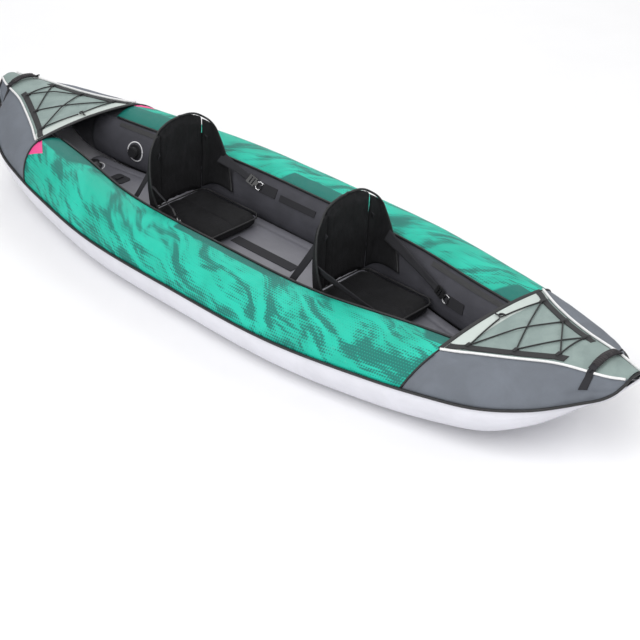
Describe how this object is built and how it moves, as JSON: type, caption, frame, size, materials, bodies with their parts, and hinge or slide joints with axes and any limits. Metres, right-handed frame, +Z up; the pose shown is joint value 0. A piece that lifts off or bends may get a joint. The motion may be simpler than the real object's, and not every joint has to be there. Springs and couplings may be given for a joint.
{
  "type": "inflatable kayak",
  "caption": "Two-seat inflatable kayak with side air chambers, inflatable floor, laced end decks, grab handles and strapped folding seats.",
  "frame": {"origin": "on the ground under the middle of the hull", "axes": "+X to the bow, +Y to port, +Z up"},
  "size_m": [3.2, 0.908, 0.5082],
  "materials": {
    "cover_fabric": "printed nylon in turquoise with a dotted darker pattern",
    "cockpit_fabric": "dark charcoal coated cloth",
    "hull_pvc": "pale grey coated fabric, satin",
    "bladder_film": "translucent grey film",
    "floor_fabric": "mid grey coated fabric",
    "cheek_fabric": "slate grey nylon",
    "deck_fabric": "sage grey nylon",
    "black_piping": "black corded piping",
    "white_piping": "white corded piping",
    "webbing": "black woven webbing",
    "bungee_cord": "black braided elastic cord",
    "grip_fabric": "black textured padded sleeve",
    "valve_plastic": "black moulded plastic",
    "skeg_plastic": "black moulded plastic",
    "zip_tape": "black zip tape",
    "seat_fabric": "black nylon over foam",
    "board_plastic": "white sheet plastic",
    "ring_steel": "stainless wire",
    "buckle_plastic": "black moulded plastic"
  },
  "bodies": {
    "hull": {"port_air_chamber": "bladder_film", "starboard_air_chamber": "bladder_film", "floor_air_chamber": "floor_fabric", "port_side_cover": "cover_fabric", "starboard_side_cover": "cover_fabric", "port_inner_wall": "cockpit_fabric", "starboard_inner_wall": "cockpit_fabric", "port_lower_skin": "hull_pvc", "starboard_lower_skin": "hull_pvc", "bottom_panel": "hull_pvc", "bow_port_cheek": "cheek_fabric", "bow_starboard_cheek": "cheek_fabric", "stern_port_cheek": "cheek_fabric", "stern_starboard_cheek": "cheek_fabric", "bow_deck_panel": "deck_fabric", "stern_deck_panel": "deck_fabric", "deck_bindings": "webbing", "deck_piping": "white_piping", "lacing_strips": "webbing", "bow_bungee": "bungee_cord", "stern_bungee": "bungee_cord", "bow_bungee_knot": "bungee_cord", "stern_bungee_knot": "bungee_cord", "chine_piping": "black_piping", "rim_piping": "black_piping", "handle_patches": "webbing", "valve_bases": "valve_plastic", "skeg_base": "skeg_plastic", "floor_strip": "webbing", "floor_patch": "webbing", "wall_webbing": "webbing", "wall_zips": "zip_tape", "seat_anchor_patches": "webbing", "rear_seat_cushion": "seat_fabric", "front_seat_cushion": "seat_fabric"},
    "bow_handle": {"bow_handle_strap": "webbing", "bow_handle_grip": "grip_fabric"},
    "stern_handle": {"stern_handle_strap": "webbing", "stern_handle_grip": "grip_fabric"},
    "port_cap": {"port_valve_cap": "valve_plastic"},
    "starboard_cap": {"starboard_valve_cap": "valve_plastic"},
    "floor_cap": {"floor_valve_cap": "valve_plastic"},
    "rear_backrest": {"rear_seat_back": "seat_fabric", "rear_seat_board": "board_plastic", "rear_seat_wings": "seat_fabric", "rear_seat_front_straps": "webbing", "rear_seat_rear_straps": "webbing"},
    "rear_port_ring": {"rear_seat_port_ring": "ring_steel", "rear_seat_port_buckle": "buckle_plastic"},
    "rear_starboard_ring": {"rear_seat_starboard_ring": "ring_steel", "rear_seat_starboard_buckle": "buckle_plastic"},
    "front_backrest": {"front_seat_back": "seat_fabric", "front_seat_board": "board_plastic", "front_seat_wings": "seat_fabric", "front_seat_front_straps": "webbing", "front_seat_rear_straps": "webbing"},
    "front_port_ring": {"front_seat_port_ring": "ring_steel", "front_seat_port_buckle": "buckle_plastic"},
    "front_starboard_ring": {"front_seat_starboard_ring": "ring_steel", "front_seat_starboard_buckle": "buckle_plastic"}
  },
  "joints": [
    {"name": "bow_handle_tilt", "type": "hinge", "parent": "hull", "child": "bow_handle", "pos_m": [1.49, 0, 0.338], "axis": [0, 1, 0], "range_deg": [-20, 20]},
    {"name": "stern_handle_tilt", "type": "hinge", "parent": "hull", "child": "stern_handle", "pos_m": [-1.49, 0, 0.338], "axis": [0, 1, 0], "range_deg": [-20, 20]},
    {"name": "port_cap_turn", "type": "hinge", "parent": "hull", "child": "port_cap", "pos_m": [-0.896, 0.10173, 0.17721], "axis": [0.1418, -0.9685, 0.2047], "range_deg": [0, 90]},
    {"name": "starboard_cap_turn", "type": "hinge", "parent": "hull", "child": "starboard_cap", "pos_m": [-0.896, -0.10173, 0.17721], "axis": [0.1418, 0.9685, 0.2047], "range_deg": [0, 90]},
    {"name": "floor_cap_turn", "type": "hinge", "parent": "hull", "child": "floor_cap", "pos_m": [-1.04, 0, 0.1], "axis": [0, 0, 1], "range_deg": [0, 90]},
    {"name": "rear_backrest_fold", "type": "hinge", "parent": "hull", "child": "rear_backrest", "pos_m": [-0.482, 0, 0.165], "axis": [0, 1, 0], "range_deg": [-15, 75], "deforming": ["rear_seat_wings", "rear_seat_front_straps", "rear_seat_rear_straps"]},
    {"name": "rear_port_ring_swing", "type": "hinge", "parent": "hull", "child": "rear_port_ring", "pos_m": [-0.24798, 0.19286, 0.2152], "axis": [0.2404, 0.6428, 0.7273], "range_deg": [0, 35]},
    {"name": "rear_starboard_ring_swing", "type": "hinge", "parent": "hull", "child": "rear_starboard_ring", "pos_m": [-0.24798, -0.19286, 0.2152], "axis": [-0.2404, 0.6428, -0.7273], "range_deg": [0, 35]},
    {"name": "front_backrest_fold", "type": "hinge", "parent": "hull", "child": "front_backrest", "pos_m": [0.393, 0, 0.165], "axis": [0, 1, 0], "range_deg": [-15, 75], "deforming": ["front_seat_wings", "front_seat_front_straps", "front_seat_rear_straps"]},
    {"name": "front_port_ring_swing", "type": "hinge", "parent": "hull", "child": "front_port_ring", "pos_m": [0.75949, 0.11836, 0.17929], "axis": [0.4102, 0.2019, 0.8894], "range_deg": [0, 35]},
    {"name": "front_starboard_ring_swing", "type": "hinge", "parent": "hull", "child": "front_starboard_ring", "pos_m": [0.75949, -0.11836, 0.17929], "axis": [-0.4102, 0.2019, -0.8894], "range_deg": [0, 35]}
  ]
}
